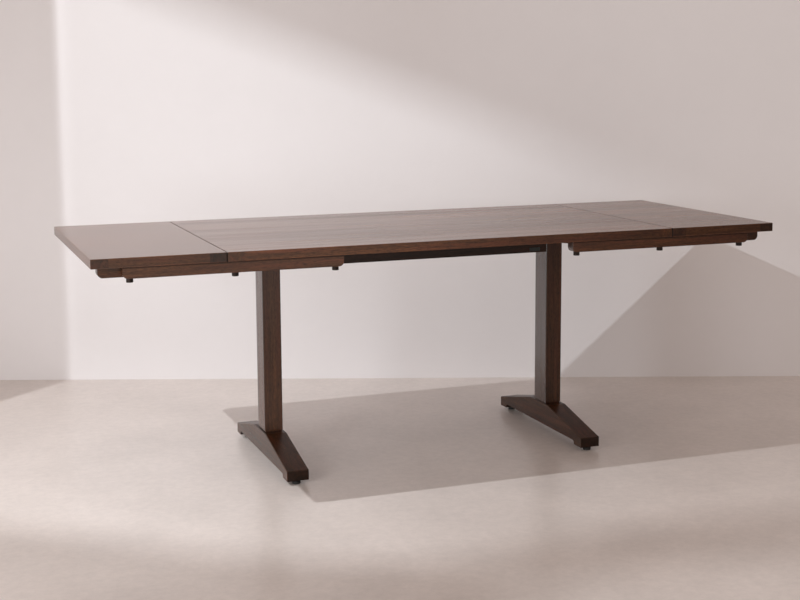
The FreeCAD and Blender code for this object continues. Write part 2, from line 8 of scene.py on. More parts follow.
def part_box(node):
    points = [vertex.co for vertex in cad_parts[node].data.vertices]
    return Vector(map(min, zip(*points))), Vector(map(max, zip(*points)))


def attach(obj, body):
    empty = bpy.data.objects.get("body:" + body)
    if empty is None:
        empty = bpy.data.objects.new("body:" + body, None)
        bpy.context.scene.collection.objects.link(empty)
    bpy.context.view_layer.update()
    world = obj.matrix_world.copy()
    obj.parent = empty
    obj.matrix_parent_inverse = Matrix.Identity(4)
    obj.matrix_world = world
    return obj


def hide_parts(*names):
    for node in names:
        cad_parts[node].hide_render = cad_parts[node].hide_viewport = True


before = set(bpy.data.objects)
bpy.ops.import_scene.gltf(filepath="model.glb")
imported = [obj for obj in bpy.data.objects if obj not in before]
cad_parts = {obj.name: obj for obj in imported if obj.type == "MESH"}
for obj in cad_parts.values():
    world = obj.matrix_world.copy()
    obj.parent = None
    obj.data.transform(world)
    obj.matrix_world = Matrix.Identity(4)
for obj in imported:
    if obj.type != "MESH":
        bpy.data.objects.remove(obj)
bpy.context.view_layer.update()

bl_info = {
    "name": "Extending Dining Table",
    "version": (1, 0, 0),
    "blender": (4, 5, 0),
    "location": "View3D > Sidebar > Dining Table",
    "description": "Finishes and details of a dining table with two end leaves",
    "category": "Object",
}

# Blender works in metres. X runs along the table, Y from its front to its back, and Z up.
MM = 0.001
SIDES = ("left", "right")
EDGES = ("front", "back")
CORNERS = [(side, edge) for side in SIDES for edge in EDGES]
# Corners of a mesh that differ less than this in height lie on one level.
LEVEL = 1.0 * MM
# Where the screws stand along a batten
BATTEN_SCREWS = (0.12, 0.5, 0.88)


def hex_colour(code):
    """An sRGB hex colour as the linear values that shaders take."""
    channels = [int(code[place:place + 2], 16) / 255 for place in (1, 3, 5)]
    return (*(c / 12.92 if c <= 0.04045 else ((c + 0.055) / 1.055) ** 2.4 for c in channels), 1.0)


def colour(code, name, description):
    """A colour property whose default is an sRGB hex colour."""
    return bpy.props.FloatVectorProperty(name=name, description=description, subtype="COLOR", size=4,
                                         min=0.0, max=1.0, default=hex_colour(code))


def length(metres, name, description):
    """A length property."""
    return bpy.props.FloatProperty(name=name, description=description, default=metres, unit="LENGTH",
                                   precision=5, min=0.0)


def share(number, name, description):
    """A property from 0 to 1."""
    return bpy.props.FloatProperty(name=name, description=description, default=number, subtype="FACTOR",
                                   min=0.0, max=1.0)


def place(metres, name, description):
    """A property for a place in the room."""
    return bpy.props.FloatVectorProperty(name=name, description=description, default=metres,
                                         subtype="TRANSLATION", size=3)


class OakFinish(bpy.types.PropertyGroup):
    """Stain, grain and lacquer of all the oak."""

    stain: colour("#54331c", "Stain", "Smoked brown of the face grain")
    stain_deep: colour("#2e1a0e", "Deep stain", "Late wood, which takes the stain darkest")
    stain_warm: colour("#59301f", "Warm stain", "Redder patches in the wood")
    pore: colour("#140b07", "Pores", "Stain that has settled in the open pores")
    sway_width: length(1 / 9, "Sway width", "Across one slow bend of the year rings")
    ring_spacing: length(3.4 * MM, "Ring spacing", "Between year rings across the face")
    streak_width: length(1 / 240, "Streak width", "Across a dark streak")
    band_width: length(1 / 60, "Band width", "Across a redder or lighter band")
    film_width: length(1 / 20, "Film width", "Across a stretch where the lacquer lies thicker")
    fleck_width: length(4.0 * MM, "Fleck width", "Across a ray fleck")
    fleck_length: length(14 * MM, "Fleck length", "Along a ray fleck")
    pore_width: length(0.9 * MM, "Pore width", "Across an open pore, drawn coarser than the real 0.3 mm")
    pore_length: length(16 * MM, "Pore length", "Along an open pore")
    stave_width: length(71 * MM, "Stave width", "Between the glue lines of a board")
    seam_place: length(738.6 * MM, "Seam place", "Middle of the table to the middle of a seam")
    # Painted shade: a seam's strip is painted darker and duller, for the shade in the gap between the boards
    seam_shade: length(2.2 * MM, "Seam shade", "Wear and dust to either side of a seam")
    # Painted shade: bearers and battens are painted darker just below the boards, where the overhang shades
    # them
    corner_shade: length(7.0 * MM, "Corner shade", "Dark stain below the boards on bearers and battens")
    end_grain: share(0.5, "End grain", "Brightness left where the grain runs out of a face")
    wood_roughness: share(0.42, "Wood roughness", "Under the lacquer")
    lacquer_roughness: share(0.24, "Lacquer roughness", "Satin")


class HardwareLook(bpy.types.PropertyGroup):
    """Metal and plastic fittings."""

    knurls: bpy.props.IntProperty(name="Knurls", description="Ridges round the head of a cap bolt",
                                  default=30, min=12, max=60)
    knurl_depth: length(0.25 * MM, "Knurl depth", "From ridge to valley")
    head_edge: length(0.7 * MM, "Head edge", "Rounded rim of a bolt head")
    shank: length(8.0 * MM, "Shank", "Diameter of a cap bolt's shank")
    socket: length(7.0 * MM, "Socket", "Across the flats of the hexagon socket")
    socket_depth: length(5.0 * MM, "Socket depth", "Hexagon socket")
    screw_head: length(9.0 * MM, "Screw head", "Diameter of a wood screw's head")
    screw_rise: length(2.2 * MM, "Screw rise", "How far a wood screw's head stands off the wood")
    recess_length: length(5.0 * MM, "Recess length", "Along one arm of the cross in a wood screw")
    recess_width: length(1.1 * MM, "Recess width", "Across one arm of the cross")
    recess_height: length(0.5 * MM, "Recess height", "Raised edge of the cross")
    head_rail_flat: length(150 * MM, "Head rail flat", "Half of the level part under a head rail")
    screw_margin: length(15 * MM, "Screw margin", "From the end of that part to the first screw")
    disc_edge: length(1.6 * MM, "Disc edge", "Rounded rim of a glide's disc")
    nut_across: length(17.0 * MM, "Glide nut", "Across the hexagon above a glide's disc")
    nut_height: length(4.5 * MM, "Glide nut height", "Hexagon above a glide's disc")
    nut_edge: length(0.4 * MM, "Glide nut edge", "Rounded edges of the hexagon")
    plate_corner: length(2.0 * MM, "Plate corner", "Radius of the plate's corners")
    plate_border: length(0.9 * MM, "Plate border", "Raised border round the plate's face")
    plate_slope: length(0.25 * MM, "Plate slope", "Width of the slope inside the border")
    plate_sink: length(0.3 * MM, "Plate sink", "How far the face lies below the border")
    steel: colour("#332c29", "Black steel", "Blackened cap bolts")
    zinc: colour("#b4b5b3", "Zinc", "Bright zinc plate")
    nylon: colour("#161515", "Nylon", "Moulded glides")
    # Partly painted shade: this dark grey is partly the plate's own colour and partly the shade under the top
    aluminium: colour("#454746", "Aluminium", "Anodised plate, with no marking on it")
    beech: colour("#c79c74", "Beech", "Dowels")


class StudioLook(bpy.types.PropertyGroup):
    """Camera, lamps, floor and wall."""

    camera_place: place((-1.6369, -4.2143, 1.2775), "Camera", "Place of the camera")
    camera_turn: bpy.props.FloatVectorProperty(name="Camera turn", description="Pitch, roll and heading",
                                               subtype="EULER", size=3,
                                               default=[math.radians(a) for a in (82.28, 0.307, -20.692)])
    lens: bpy.props.FloatProperty(name="Lens", description="Focal length in millimetres on a 36 mm sensor",
                                  default=61.15, min=20.0, max=200.0)
    lamp_place: place((-2.72, -0.24, 2.59), "Lamp", "Place of the hard lamp, which draws the sharp shadows")
    lamp_aim: place((2.4, -1.6, 0.2), "Lamp aim", "Point that the hard lamp faces")
    lamp_size: length(0.025, "Lamp size", "Side of the hard lamp")
    lamp_watts: bpy.props.FloatProperty(name="Lamp power", description="Hard lamp, in watts", default=74.0,
                                        min=0.0)
    fill_place: place((-2.4, -1.6, 0.95), "Fill", "Place of the large soft box")
    fill_aim: place((-1.2, 0.1, 0.75), "Fill aim", "Left end of the table, which the soft box faces")
    fill_size: length(0.9, "Fill size", "Side of the large soft box")
    fill_spread: bpy.props.FloatProperty(name="Fill spread", description="Angle that its grid leaves open",
                                         subtype="ANGLE", default=math.radians(110), min=0.1, max=math.pi)
    fill_watts: bpy.props.FloatProperty(name="Fill power", description="Large soft box, in watts",
                                        default=11.0, min=0.0)
    lamp_tint: colour("#f4f9fd", "Lamp tint", "Daylight white of both lamps")
    sky: share(0.54, "Room light", "Strength of the even light from all sides")
    sky_tint: colour("#ffeee4", "Room tint", "Warm white of the even light")
    floor: colour("#d8cec8", "Floor", "Pale plaster floor")
    wall: colour("#f0edee", "Wall", "Pale painted wall")
    background: colour("#f3ebe5", "Background", "Beyond the floor and the wall")
    background_dark: colour("#5f5b59", "Dark background", "To the front and right, where the room is dim")
    wall_distance: length(5.49, "Wall distance", "Camera to the foot of the wall")


def node(tree, kind, inputs=None, **settings):
    """Adds a shader node. An input takes a value, another node's output, or a node for its first output."""
    new = tree.nodes.new(kind)
    for name, value in settings.items():
        setattr(new, name, value)
    for socket, value in (inputs or {}).items():
        if isinstance(value, bpy.types.Node):
            value = value.outputs[0]
        if isinstance(value, bpy.types.NodeSocket):
            tree.links.new(value, new.inputs[socket])
        else:
            new.inputs[socket].default_value = value
    return new


def new_material(name):
    """An empty material and its node tree."""
    material = bpy.data.materials.new(name)
    material.use_nodes = True
    material.node_tree.nodes.clear()
    return material, material.node_tree


AXIS = {"X": (1, 0, 0), "Y": (0, 1, 0), "Z": (0, 0, 1)}
# Turns a pattern drawn with its grain along X so that the grain runs along another axis
GRAIN_TURN = {"X": (0.0, 0.0, 0.0), "Y": (0.0, 0.0, -math.pi / 2), "Z": (0.0, math.pi / 2, 0.0)}
# The wave texture repeats twenty times in tau at scale 1.
WAVE_PERIOD = math.tau / 20
# Features are about twenty times longer along the grain than across it.
STRETCH_SHARE = 0.045
# How far the year rings bend in and out of a face
RING_SWING = (0.0, 0.04, 0.04)
# Shares of rings, streaks and flecks in how deep the stain goes
STAIN_SHARES = (0.3, 0.7, 0.5)
# Noise mostly lies between these values, and an open pore is one of its peaks.
NOISE_SPAN = (0.34, 0.66)
PORE_SPAN = (0.58, 0.67)
# How squarely a face looks along the grain, or along the axis where its sheen is cut as painted shade, from
# no effect to all of it
CUT_SPAN = (0.55, 0.95)
SHEEN_CUT_SPAN = (0.5, 0.9)
# Brightness left by painted shade along a seam and in the corner below the boards, and the share of a seam's
# strip that is that dark
PAINTED_SHADE_TONE = 0.15
PAINTED_SEAM_CORE = 0.6
# A face that looks up or down more squarely than this is covered with veneer in staves.
FLAT_FROM = 0.7
# Most that a stave's pattern is shifted, and its tone from the darkest to the lightest stave
STAVE_SHIFT = (3.0, 0.6, 0.2)
STAVE_TONES = (0.8, 1.2)
# Brightness of the stain on the top faces, which is one for all the boards
FACE_TONE = 1.85
# Painted sheen: the lacquer at the left and at the right end of the top, more at the left for a brighter
# reflection there, and how far from the middle these two lie
SHEEN = (1.15, 0.93)
SHEEN_REACH = 0.9
# Share of the lacquer that is left on the long edges of the boards, which cuts their sheen as painted shade
EDGE_FILM = 0.5
# From the middle of the fixed top to its ends, where the painted light on its edges is palest and darkest
TOP_REACH = 0.74
# Height of the raised grain, and how strongly the wood and the lacquer show it
GRAIN_RISE = 0.12 * MM
WOOD_RELIEF = 0.35
LACQUER_RELIEF = 0.08


def facing(tree, spot, axis):
    """How squarely a face looks along an axis: 1 straight along it and 0 across it."""
    along = node(tree, "ShaderNodeVectorMath", {0: spot.outputs["Normal"], 1: AXIS[axis]},
                 operation="DOT_PRODUCT").outputs["Value"]
    return node(tree, "ShaderNodeMath", {0: along}, operation="ABSOLUTE")


def oak(name, grain, shift, tone, end_tone=1.0, gloss=1.4, veneer=None, film_low=0.86, painted_light_fade=None,
        painted_sheen_cut=None, under=None):
    """Smoked oak, planed, stained and lacquered satin: brown open grain under a soft even sheen.

    The grain runs along the axis grain, and shift gives each piece its own part of the pattern. tone is the
    brightness of the stain, end_tone that where the grain runs out, and gloss the lacquer's refractive index.
    veneer places the sheet over a board and its breadboard ends, film_low is its thinnest lacquer, and
    painted_light_fade the tone of its edges at the left and right end, painted light that falls off from
    left to right. painted_sheen_cut is an axis and the share of lacquer left on faces that look along it,
    whose sheen is cut as painted shade. under is the height of the boards' underside, in whose corner shade
    is painted on the wood and its lacquer.
    """
    look = bpy.context.scene.dining_table_oak
    material, tree = new_material(name)
    spot = node(tree, "ShaderNodeTexCoord")
    here = spot.outputs["Object"]
    out = node(tree, "ShaderNodeSeparateXYZ", {0: here}).outputs
    lie = node(tree, "ShaderNodeMapping", {"Vector": here, "Location": shift, "Rotation": GRAIN_TURN[grain]})
    levels = []

    # One sheet of veneer covers a board and its breadboard ends, in staves cut from different planks:
    # from stave to stave the pattern is shifted and its tone changes.
    if veneer:
        flat = node(tree, "ShaderNodeMath", {0: facing(tree, spot, "Z"), 1: FLAT_FROM},
                    operation="GREATER_THAN")
        sheet = node(tree, "ShaderNodeMapping", {"Vector": here, "Location": veneer})
        lie = node(tree, "ShaderNodeMix", {"Factor": flat, "A": lie, "B": sheet},
                   data_type="VECTOR").outputs["Result"]
        row = node(tree, "ShaderNodeMath", {0: node(tree, "ShaderNodeSeparateXYZ", {0: lie}).outputs["Y"],
                                            1: look.stave_width}, operation="DIVIDE")
        stave = node(tree, "ShaderNodeMath", {0: row}, operation="FLOOR")
        number = node(tree, "ShaderNodeMath", {0: stave, 1: flat}, operation="MULTIPLY")
        chance = node(tree, "ShaderNodeTexWhiteNoise", {"W": number}, noise_dimensions="1D")
        moved = node(tree, "ShaderNodeVectorMath", {0: chance.outputs["Color"], 1: STAVE_SHIFT},
                     operation="MULTIPLY")
        lie = node(tree, "ShaderNodeVectorMath", {0: lie, 1: moved}, operation="ADD")
        levels += [node(tree, "ShaderNodeMapRange", {"Value": pattern, "To Min": least, "To Max": most})
                   for pattern, least, most in ((chance, *STAVE_TONES), (flat, 1.0, FACE_TONE / tone))]

    long = node(tree, "ShaderNodeMapping", {"Vector": lie, "Scale": (STRETCH_SHARE, 1.0, 1.0)})
    sway = node(tree, "ShaderNodeTexNoise", {"Vector": long, "Scale": 1 / look.sway_width, "Detail": 2.0,
                                             "Roughness": 0.5})
    swing = node(tree, "ShaderNodeVectorMath", {0: sway.outputs["Color"], 1: RING_SWING},
                 operation="MULTIPLY")
    bent = node(tree, "ShaderNodeVectorMath", {0: long, 1: swing}, operation="ADD")
    rings = node(tree, "ShaderNodeTexWave",
                 {"Vector": bent, "Scale": WAVE_PERIOD / look.ring_spacing, "Distortion": 1.2, "Detail": 3.0,
                  "Detail Scale": 1.3, "Detail Roughness": 0.6},
                 wave_type="RINGS", rings_direction="X", wave_profile="SAW").outputs["Fac"]
    streaks = node(tree, "ShaderNodeTexNoise", {"Vector": long, "Scale": 1 / look.streak_width, "Detail": 5.0,
                                                "Roughness": 0.65})
    bands = node(tree, "ShaderNodeTexNoise", {"Vector": long, "Scale": 1 / look.band_width, "Detail": 3.0,
                                              "Roughness": 0.55})
    tints = node(tree, "ShaderNodeSeparateColor", {0: bands.outputs["Color"]}).outputs

    # Ray flecks mottle the face, and open pores are short dark dashes in it.
    cells = (node(tree, "ShaderNodeMapping", {"Vector": lie, "Scale": (1 / run, 1 / wide, 1 / wide)})
             for run, wide in ((look.fleck_length, look.fleck_width), (look.pore_length, look.pore_width)))
    flecks, specks = (node(tree, "ShaderNodeTexNoise", {"Vector": cell, "Scale": 1.0, "Detail": detail})
                      for cell, detail in zip(cells, (2.0, 1.0)))
    pores = node(tree, "ShaderNodeMapRange", {"Value": specks, "From Min": PORE_SPAN[0],
                                              "From Max": PORE_SPAN[1]}, interpolation_type="SMOOTHSTEP")

    # Colour: rings, streaks and flecks set how deep the stain is, bands how red, and pores hold the darkest.
    depth = 0.0
    for pattern, part in zip((rings, streaks, flecks), STAIN_SHARES):
        depth = node(tree, "ShaderNodeMath", {0: pattern, 1: part, 2: depth}, operation="MULTIPLY_ADD")
    body = node(tree, "ShaderNodeMapRange", {"Value": depth, "From Min": 0.5, "From Max": 0.96})
    warmth = node(tree, "ShaderNodeMapRange", {"Value": tints["Red"], "From Min": 0.45, "From Max": 0.7,
                                               "To Max": 0.7})
    filled = node(tree, "ShaderNodeMath", {0: pores, 1: 0.7}, operation="MULTIPLY")
    paint = look.stain_deep
    for amount, stain in ((body, look.stain), (warmth, look.stain_warm), (filled, look.pore)):
        paint = node(tree, "ShaderNodeMix", {"Factor": amount, "A": paint, "B": stain},
                     data_type="RGBA").outputs["Result"]

    # Bands are lighter and darker. Cut fibres drink more stain, so faces across the grain are darker.
    levels += [
        node(tree, "ShaderNodeMapRange", {"Value": tints["Green"], "From Min": NOISE_SPAN[0],
                                          "From Max": NOISE_SPAN[1], "To Min": 0.72, "To Max": 1.28}),
        node(tree, "ShaderNodeMapRange", {"Value": facing(tree, spot, grain), "From Min": CUT_SPAN[0],
                                          "From Max": CUT_SPAN[1], "To Min": tone,
                                          "To Max": tone * end_tone * look.end_grain})]
    if veneer:
        # Painted shade: along the seams the stain is painted darker and the lacquer thinner, for the shade in
        # the gap between the boards.
        reach = node(tree, "ShaderNodeMath", {0: out["X"]}, operation="ABSOLUTE")
        gap = node(tree, "ShaderNodeMath", {0: reach, 1: look.seam_place}, operation="SUBTRACT")
        aside = node(tree, "ShaderNodeMath", {0: gap}, operation="ABSOLUTE")
        painted_seam_shade = node(tree, "ShaderNodeMapRange", {"Value": aside, "From Min": look.seam_shade * PAINTED_SEAM_CORE,
                                                  "From Max": look.seam_shade, "To Min": PAINTED_SHADE_TONE})
        levels.append(painted_seam_shade)
        # The lacquer's thickness changes along each stave and from stave to stave, and along the table it
        # fades from left to right as painted sheen.
        clouds = node(tree, "ShaderNodeTexNoise", {"Vector": long, "Scale": 1 / look.film_width,
                                                   "Detail": 2.0, "Roughness": 0.6})
        film = node(tree, "ShaderNodeMapRange", {"Value": clouds, "From Min": 0.36, "From Max": 0.64,
                                                 "To Min": film_low})
        stave_film = node(tree, "ShaderNodeMapRange", {"Value": chance, "To Min": film_low + 0.02})
        cover = node(tree, "ShaderNodeMath", {0: film, 1: stave_film}, operation="MULTIPLY")
        painted_sheen_fade = node(tree, "ShaderNodeMapRange",
                     {"Value": out["X"], "From Min": -SHEEN_REACH, "From Max": SHEEN_REACH,
                      "To Min": SHEEN[0], "To Max": SHEEN[1]})
        even = node(tree, "ShaderNodeMath", {0: cover, 1: painted_sheen_fade}, operation="MULTIPLY", use_clamp=True)
        films = [painted_seam_shade, even]
        painted_sheen_cut = ("Y", EDGE_FILM)
        if painted_light_fade:
            # Painted light: the upright faces are painted lighter at the left end and darker at the right, as
            # the lamp's light falls off along the table.
            upright = node(tree, "ShaderNodeMath", {0: 1.0, 1: flat}, operation="SUBTRACT")
            along = node(tree, "ShaderNodeMath", {0: out["X"], 1: upright}, operation="MULTIPLY")
            levels.append(node(tree, "ShaderNodeMapRange",
                               {"Value": along, "From Min": -TOP_REACH, "From Max": TOP_REACH,
                                "To Min": painted_light_fade[0], "To Max": painted_light_fade[1]}))
    else:
        films = [node(tree, "ShaderNodeMapRange", {"Value": tints["Blue"], "From Min": NOISE_SPAN[0],
                                                   "From Max": NOISE_SPAN[1], "To Min": 0.92})]
    if painted_sheen_cut:
        # Painted shade: less lacquer is left on the faces that look along one axis, so that their sheen is
        # cut and they look darker.
        axis, left = painted_sheen_cut
        films.append(node(tree, "ShaderNodeMapRange",
                          {"Value": facing(tree, spot, axis), "From Min": SHEEN_CUT_SPAN[0],
                           "From Max": SHEEN_CUT_SPAN[1], "To Min": 1.0, "To Max": left}))
    if under:
        # Painted shade: the wood and its lacquer are painted darker towards the corner under the boards,
        # where their overhang shades it.
        corner = node(tree, "ShaderNodeMapRange",
                      {"Value": out["Z"], "From Min": under - look.corner_shade, "From Max": under,
                       "To Min": 1.0, "To Max": PAINTED_SHADE_TONE})
        levels.append(corner)
        films.append(corner)
    level, coat = levels[0], films[0]
    for more in levels[1:]:
        level = node(tree, "ShaderNodeMath", {0: level, 1: more}, operation="MULTIPLY")
    for more in films[1:]:
        coat = node(tree, "ShaderNodeMath", {0: coat, 1: more}, operation="MULTIPLY")
    shade = node(tree, "ShaderNodeVectorMath", {0: paint, "Scale": level}, operation="SCALE")

    # The lacquer has sunk a little into streaks and pores.
    roughness = node(tree, "ShaderNodeMapRange", {"Value": streaks, "To Min": look.wood_roughness - 0.06,
                                                  "To Max": look.wood_roughness + 0.1})
    raised = node(tree, "ShaderNodeMath", {0: streaks, 1: 0.25}, operation="MULTIPLY")
    relief = node(tree, "ShaderNodeMath", {0: raised, 1: pores}, operation="SUBTRACT")
    bump, soft = (node(tree, "ShaderNodeBump",
                       {"Height": relief, "Strength": strength, "Distance": GRAIN_RISE})
                  for strength in (WOOD_RELIEF, LACQUER_RELIEF))
    shader = node(tree, "ShaderNodeBsdfPrincipled",
                  {"Base Color": shade, "Roughness": roughness, "IOR": 1.5, "Specular IOR Level": 0.05,
                   "Coat Weight": coat, "Coat Roughness": look.lacquer_roughness, "Coat IOR": gloss,
                   "Normal": bump, "Coat Normal": soft})
    node(tree, "ShaderNodeOutputMaterial", {"Surface": shader})
    return material


def metal(name, paint, roughness, grit):
    """A plated or blackened metal: one even tone broken by fine handling marks of grit's size."""
    material, tree = new_material(name)
    marks = node(tree, "ShaderNodeTexNoise", {"Vector": node(tree, "ShaderNodeTexCoord").outputs["Object"],
                                              "Scale": 1 / grit, "Detail": 4.0})
    tone = node(tree, "ShaderNodeMapRange", {"Value": marks, "To Min": 0.8, "To Max": 1.15})
    shade = node(tree, "ShaderNodeVectorMath", {0: paint[:3], "Scale": tone}, operation="SCALE")
    rough = node(tree, "ShaderNodeMapRange", {"Value": marks, "To Min": roughness - 0.08,
                                              "To Max": roughness + 0.1})
    bump = node(tree, "ShaderNodeBump", {"Height": marks, "Strength": 0.3, "Distance": 0.02 * MM})
    shader = node(tree, "ShaderNodeBsdfPrincipled",
                  {"Base Color": shade, "Metallic": 1.0, "Roughness": rough, "Normal": bump})
    node(tree, "ShaderNodeOutputMaterial", {"Surface": shader})
    return material


def brushed_plate(name, paint):
    """Satin aluminium, brushed along the rail: fine lines, 12 mm long, that spread the highlight."""
    material, tree = new_material(name)
    stroke = node(tree, "ShaderNodeMapping", {"Vector": node(tree, "ShaderNodeTexCoord").outputs["Object"],
                                              "Scale": (1 / (12 * MM), 1 / (0.12 * MM), 1 / (0.12 * MM))})
    lines = node(tree, "ShaderNodeTexNoise", {"Vector": stroke, "Scale": 1.0, "Detail": 3.0})
    tone = node(tree, "ShaderNodeMapRange", {"Value": lines, "To Min": 0.75, "To Max": 1.15})
    shade = node(tree, "ShaderNodeVectorMath", {0: paint[:3], "Scale": tone}, operation="SCALE")
    bump = node(tree, "ShaderNodeBump", {"Height": lines, "Strength": 0.4, "Distance": 0.02 * MM})
    shader = node(tree, "ShaderNodeBsdfPrincipled",
                  {"Base Color": shade, "Metallic": 1.0, "Roughness": 0.42, "Normal": bump})
    node(tree, "ShaderNodeOutputMaterial", {"Surface": shader})
    return material


def moulded_nylon(name, paint):
    """Moulded black nylon: dark and matt, with the fine grain of a spark-eroded mould, 0.6 mm across."""
    material, tree = new_material(name)
    spot = node(tree, "ShaderNodeTexCoord").outputs["Object"]
    grain = node(tree, "ShaderNodeTexNoise", {"Vector": spot, "Scale": 1 / (0.6 * MM), "Detail": 2.0})
    dust = node(tree, "ShaderNodeTexNoise", {"Vector": spot, "Scale": 1 / (9 * MM), "Detail": 3.0})
    worn = node(tree, "ShaderNodeMapRange", {"Value": dust, "To Min": 0.7, "To Max": 1.6})
    shade = node(tree, "ShaderNodeVectorMath", {0: paint[:3], "Scale": worn}, operation="SCALE")
    bump = node(tree, "ShaderNodeBump", {"Height": grain, "Strength": 0.5, "Distance": 0.05 * MM})
    shader = node(tree, "ShaderNodeBsdfPrincipled",
                  {"Base Color": shade, "Roughness": 0.52, "IOR": 1.53, "Normal": bump})
    node(tree, "ShaderNodeOutputMaterial", {"Surface": shader})
    return material


def turned_beech(name, paint):
    """Plain beech dowel: pale pink-brown with short darker flecks, 1.5 mm long, and no finish."""
    material, tree = new_material(name)
    fleck = node(tree, "ShaderNodeMapping", {"Vector": node(tree, "ShaderNodeTexCoord").outputs["Object"],
                                             "Scale": (1 / (1.5 * MM), 1 / (0.4 * MM), 1 / (0.4 * MM))})
    flecks = node(tree, "ShaderNodeTexNoise", {"Vector": fleck, "Scale": 1.0, "Detail": 3.0})
    tone = node(tree, "ShaderNodeMapRange", {"Value": flecks, "From Min": 0.35, "From Max": 0.7,
                                             "To Min": 1.05, "To Max": 0.7})
    shade = node(tree, "ShaderNodeVectorMath", {0: paint[:3], "Scale": tone}, operation="SCALE")
    shader = node(tree, "ShaderNodeBsdfPrincipled", {"Base Color": shade, "Roughness": 0.65})
    node(tree, "ShaderNodeOutputMaterial", {"Surface": shader})
    return material


def plaster(name, paint, cloud, mottle, roughness):
    """Pale trowelled plaster: almost even, with soft clouds as wide as cloud, in metres, and finer mottles.

    From behind it is clear, so that the table is seen from the back and from below too.
    """
    material, tree = new_material(name)
    spot = node(tree, "ShaderNodeTexCoord").outputs["Object"]
    clouds = node(tree, "ShaderNodeTexNoise", {"Vector": spot, "Scale": 1 / cloud, "Detail": 5.0,
                                               "Roughness": 0.6})
    trowel = node(tree, "ShaderNodeTexNoise", {"Vector": spot, "Scale": 12 / cloud, "Detail": 6.0,
                                               "Roughness": 0.75})
    tone, fine = (node(tree, "ShaderNodeMapRange", {"Value": pattern, "From Min": 0.3, "From Max": 0.7,
                                                    "To Min": 1 - mottle, "To Max": 1 + mottle})
                  for pattern in (clouds, trowel))
    level = node(tree, "ShaderNodeMath", {0: tone, 1: fine}, operation="MULTIPLY")
    shade = node(tree, "ShaderNodeVectorMath", {0: paint[:3], "Scale": level}, operation="SCALE")
    shader = node(tree, "ShaderNodeBsdfPrincipled", {"Base Color": shade, "Roughness": roughness})
    clear = node(tree, "ShaderNodeBsdfTransparent")
    behind = node(tree, "ShaderNodeNewGeometry").outputs["Backfacing"]
    one_sided = node(tree, "ShaderNodeMixShader", {0: behind, 1: shader, 2: clear})
    node(tree, "ShaderNodeOutputMaterial", {"Surface": one_sided})
    return material


def dress(names, material):
    """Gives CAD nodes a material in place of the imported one."""
    for name in names:
        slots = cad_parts[name].data.materials
        for number in range(len(slots)):
            slots[number] = material


def finish_piece(name, mesh, body, material, replaced=()):
    """Turns a bmesh into a piece that rides on a body and stands for CAD nodes."""
    data = bpy.data.meshes.new(name)
    bmesh.ops.recalc_face_normals(mesh, faces=mesh.faces)
    mesh.to_mesh(data)
    mesh.free()
    piece = bpy.data.objects.new(name, data)
    bpy.context.scene.collection.objects.link(piece)
    data.materials.append(material)
    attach(piece, body)
    if replaced:
        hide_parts(*replaced)


def join(mesh, other):
    """Adds all of one bmesh to another."""
    data = bpy.data.meshes.new("joined")
    other.to_mesh(data)
    other.free()
    mesh.from_mesh(data)
    bpy.data.meshes.remove(data)


def box_centre(name):
    """Middle of a CAD node's box."""
    low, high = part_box(name)
    return (low + high) / 2


def bolt_places(side, edge):
    """X of the inner, middle and leaf bolts of one bearer, and their Y, from the frame's boxes."""
    low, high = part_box(f"bearer_{edge}_{side}")
    leaf = box_centre(f"leaf_bolts_{side}").x
    start, end = (low.x, high.x) if side == "right" else (high.x, low.x)
    return start + (end - leaf), (start + end) / 2, leaf, (low.y + high.y) / 2


def cap_bolt(mesh, x, y, look):
    """Adds one cap bolt with a knurled head and a hexagon socket that opens downwards."""
    low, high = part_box("leaf_bolts_left")
    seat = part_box("bearer_front_left")[0].z
    radius = (high.x - low.x) / 2
    head_height, shank_height = seat - low.z, high.z - seat
    ridges = 2 * look.knurls
    head = bmesh.new()

    # The rim, with every second corner pulled in, is drawn up to the seat and closed there.
    rim = bmesh.ops.create_circle(head, cap_ends=False, segments=ridges, radius=radius)["verts"]
    bmesh.ops.scale(head, vec=[1 - look.knurl_depth / radius] * 2 + [1], verts=rim[::2])
    walls = bmesh.ops.extrude_edge_only(head, edges=head.edges[:])["geom"]
    bmesh.ops.translate(head, verts=[item for item in walls if isinstance(item, bmesh.types.BMVert)],
                        vec=(0, 0, head_height))
    lower, upper = ([edge for edge in head.edges
                     if all(abs(vert.co.z - height) < LEVEL for vert in edge.verts)]
                    for height in (0, head_height))
    bmesh.ops.edgeloop_fill(head, edges=upper)

    # The flat underside lies between the rounded rim and the hexagon, which is sunk into the head.
    hexagon, flat = (
        list({edge for vert in bmesh.ops.create_circle(head, cap_ends=False, segments=count,
                                                       radius=size)["verts"] for edge in vert.link_edges})
        for count, size in ((6, look.socket / math.sqrt(3)), (ridges, radius - look.head_edge)))
    bmesh.ops.translate(head, verts=rim, vec=(0, 0, look.head_edge))
    bmesh.ops.bridge_loops(head, edges=lower + flat)
    bmesh.ops.bridge_loops(head, edges=flat + hexagon)
    sunk = bmesh.ops.extrude_edge_only(head, edges=hexagon)["geom"]
    bmesh.ops.translate(head, verts=[item for item in sunk if isinstance(item, bmesh.types.BMVert)],
                        vec=(0, 0, look.socket_depth))
    bmesh.ops.edgeloop_fill(head, edges=[item for item in sunk if isinstance(item, bmesh.types.BMEdge)])

    bmesh.ops.create_cone(head, cap_ends=True, segments=24, radius1=look.shank / 2, radius2=look.shank / 2,
                          depth=shank_height,
                          matrix=Matrix.Translation((0, 0, head_height + shank_height / 2)))
    bmesh.ops.translate(head, verts=head.verts, vec=(x, y, low.z))
    join(mesh, head)


